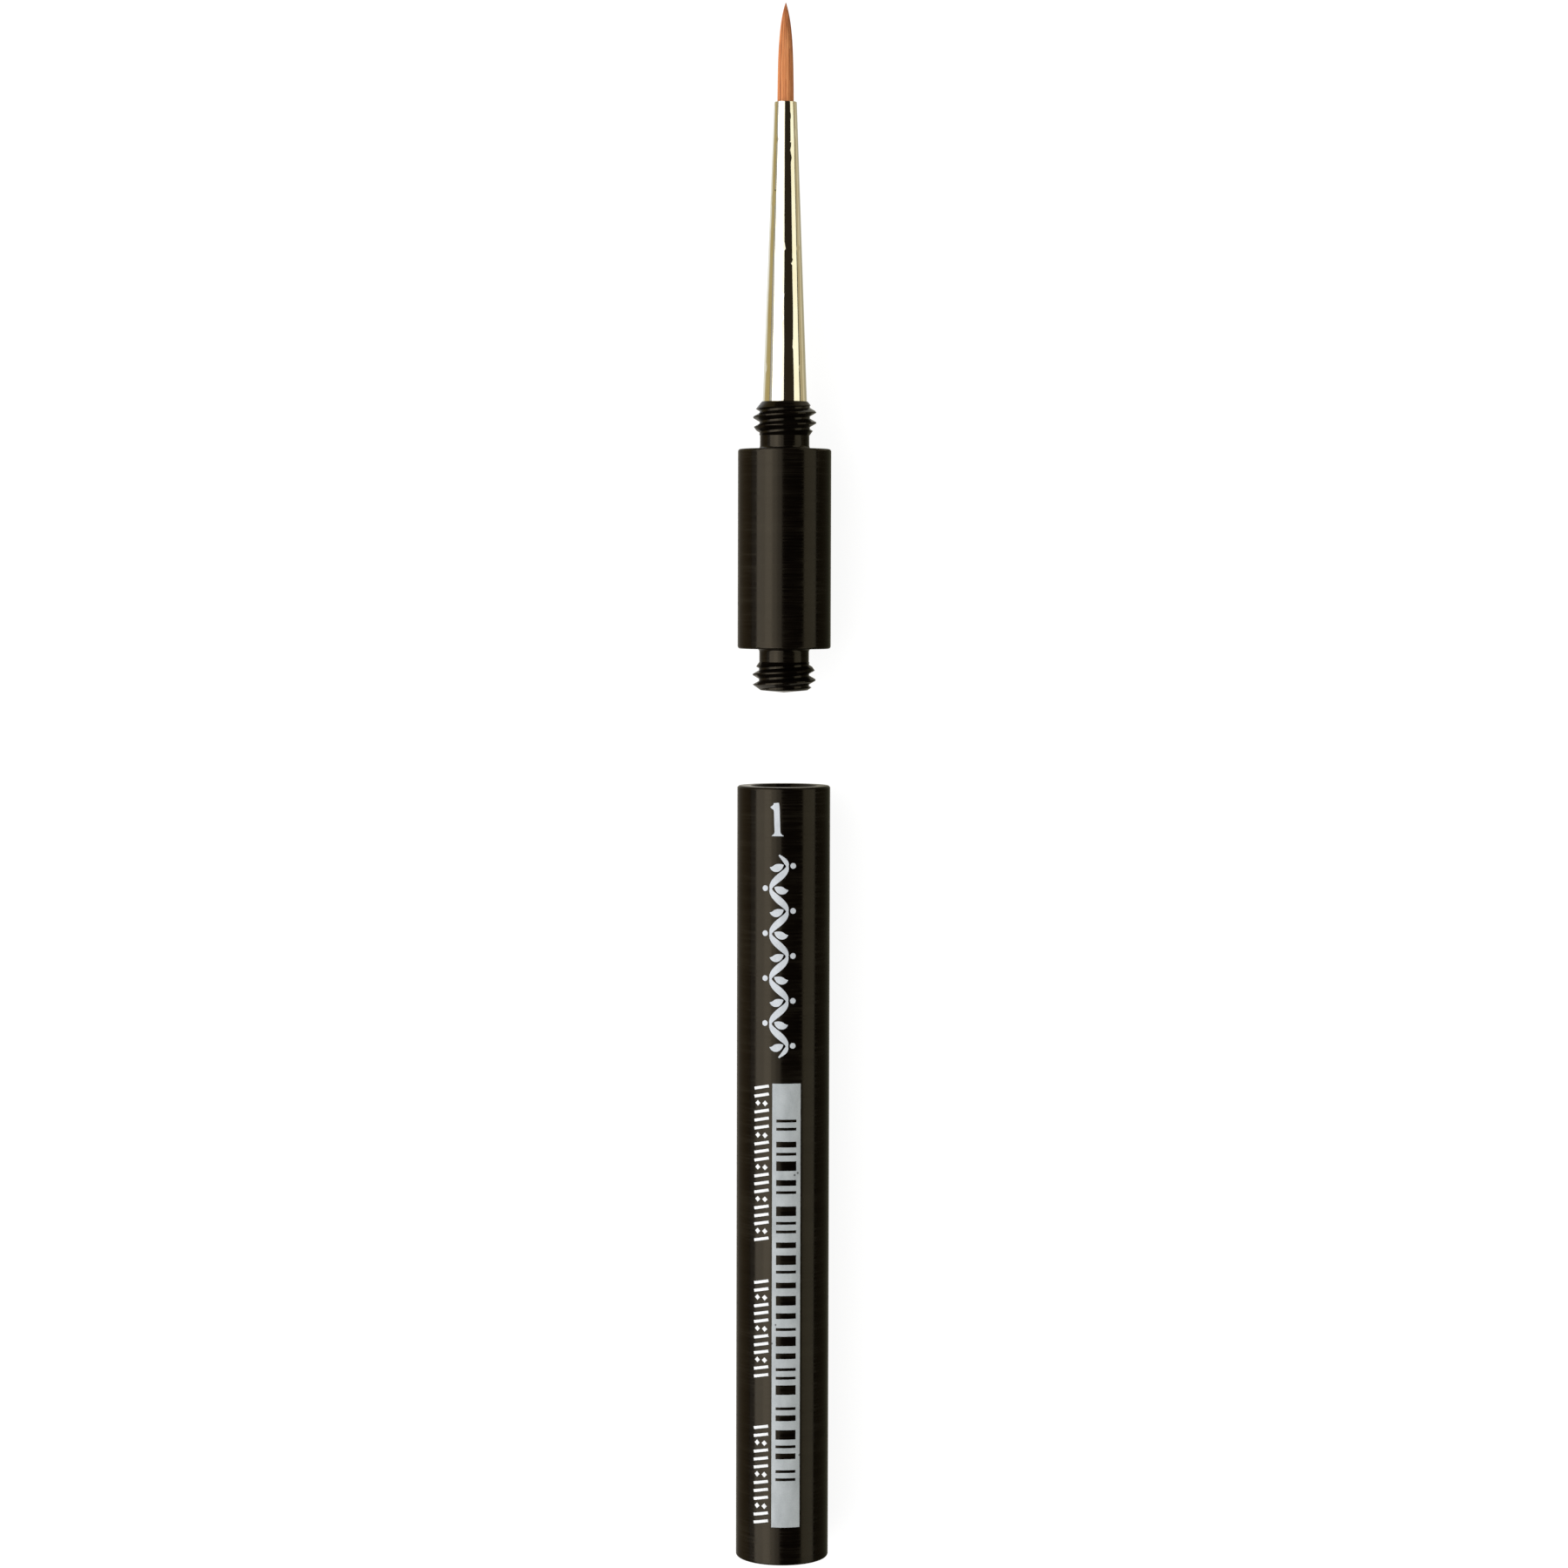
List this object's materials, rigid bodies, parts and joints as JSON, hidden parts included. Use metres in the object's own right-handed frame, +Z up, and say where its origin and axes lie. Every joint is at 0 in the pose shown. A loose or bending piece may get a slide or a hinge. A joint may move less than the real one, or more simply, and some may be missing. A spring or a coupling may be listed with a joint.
{
  "type": "fine detail brush",
  "caption": "Pocket detail brush: fine pointed hair in a long conical ferrule on a threaded coupler that screws into a tube used as handle and cap.",
  "frame": {"origin": "under the middle of the brush's whole length, on the surface it lies on", "axes": "+Y along the brush towards the hair tip, +Z up from the surface the brush lies on, +X to the right when seen from above with the hair tip away from the viewer"},
  "size_m": [0.0088, 0.1472, 0.0088],
  "materials": {
    "anodised_tube": "black anodised, satin, finely turned",
    "anodised_coupler": "black anodised, satin, finely turned",
    "gilt_ferrule": "polished, pale gold plated",
    "adhesive": "cured adhesive",
    "root_hair": "packed natural hair",
    "binding": "waxed thread",
    "resin": "clear amber resin",
    "sable_hair": "natural sable hair, drawn to a point"
  },
  "bodies": {
    "handle_tube": {"tube": "anodised_tube"},
    "screw_carrier": {"resin_plug": "resin"},
    "brush_head": {"coupler": "anodised_coupler", "ferrule": "gilt_ferrule", "ferrule_adhesive": "adhesive", "hair_root": "root_hair", "binding_thread": "binding"},
    "tuft": {"hair_tuft": "sable_hair"}
  },
  "joints": [
    {"name": "screw_advance", "type": "slide", "parent": "handle_tube", "child": "screw_carrier", "axis": [0, 1, 0], "range_m": [-0.01293, 0]},
    {"name": "screw_turn", "type": "hinge", "parent": "screw_carrier", "child": "brush_head", "pos_m": [0, 0.022, 0.0044], "axis": [0, 1, 0], "range_deg": [-4654.8, 0]},
    {"name": "tuft_flex", "type": "hinge", "parent": "brush_head", "child": "tuft", "pos_m": [0, 0.0646, 0.0044], "axis": [0, 0, 1], "range_deg": [-35, 35], "stiffness_Nm_per_rad": 0.0003}
  ],
  "couplings": [
    {"joint": "screw_turn", "follows": "screw_advance", "rad_per_m": 6283.2}
  ]
}
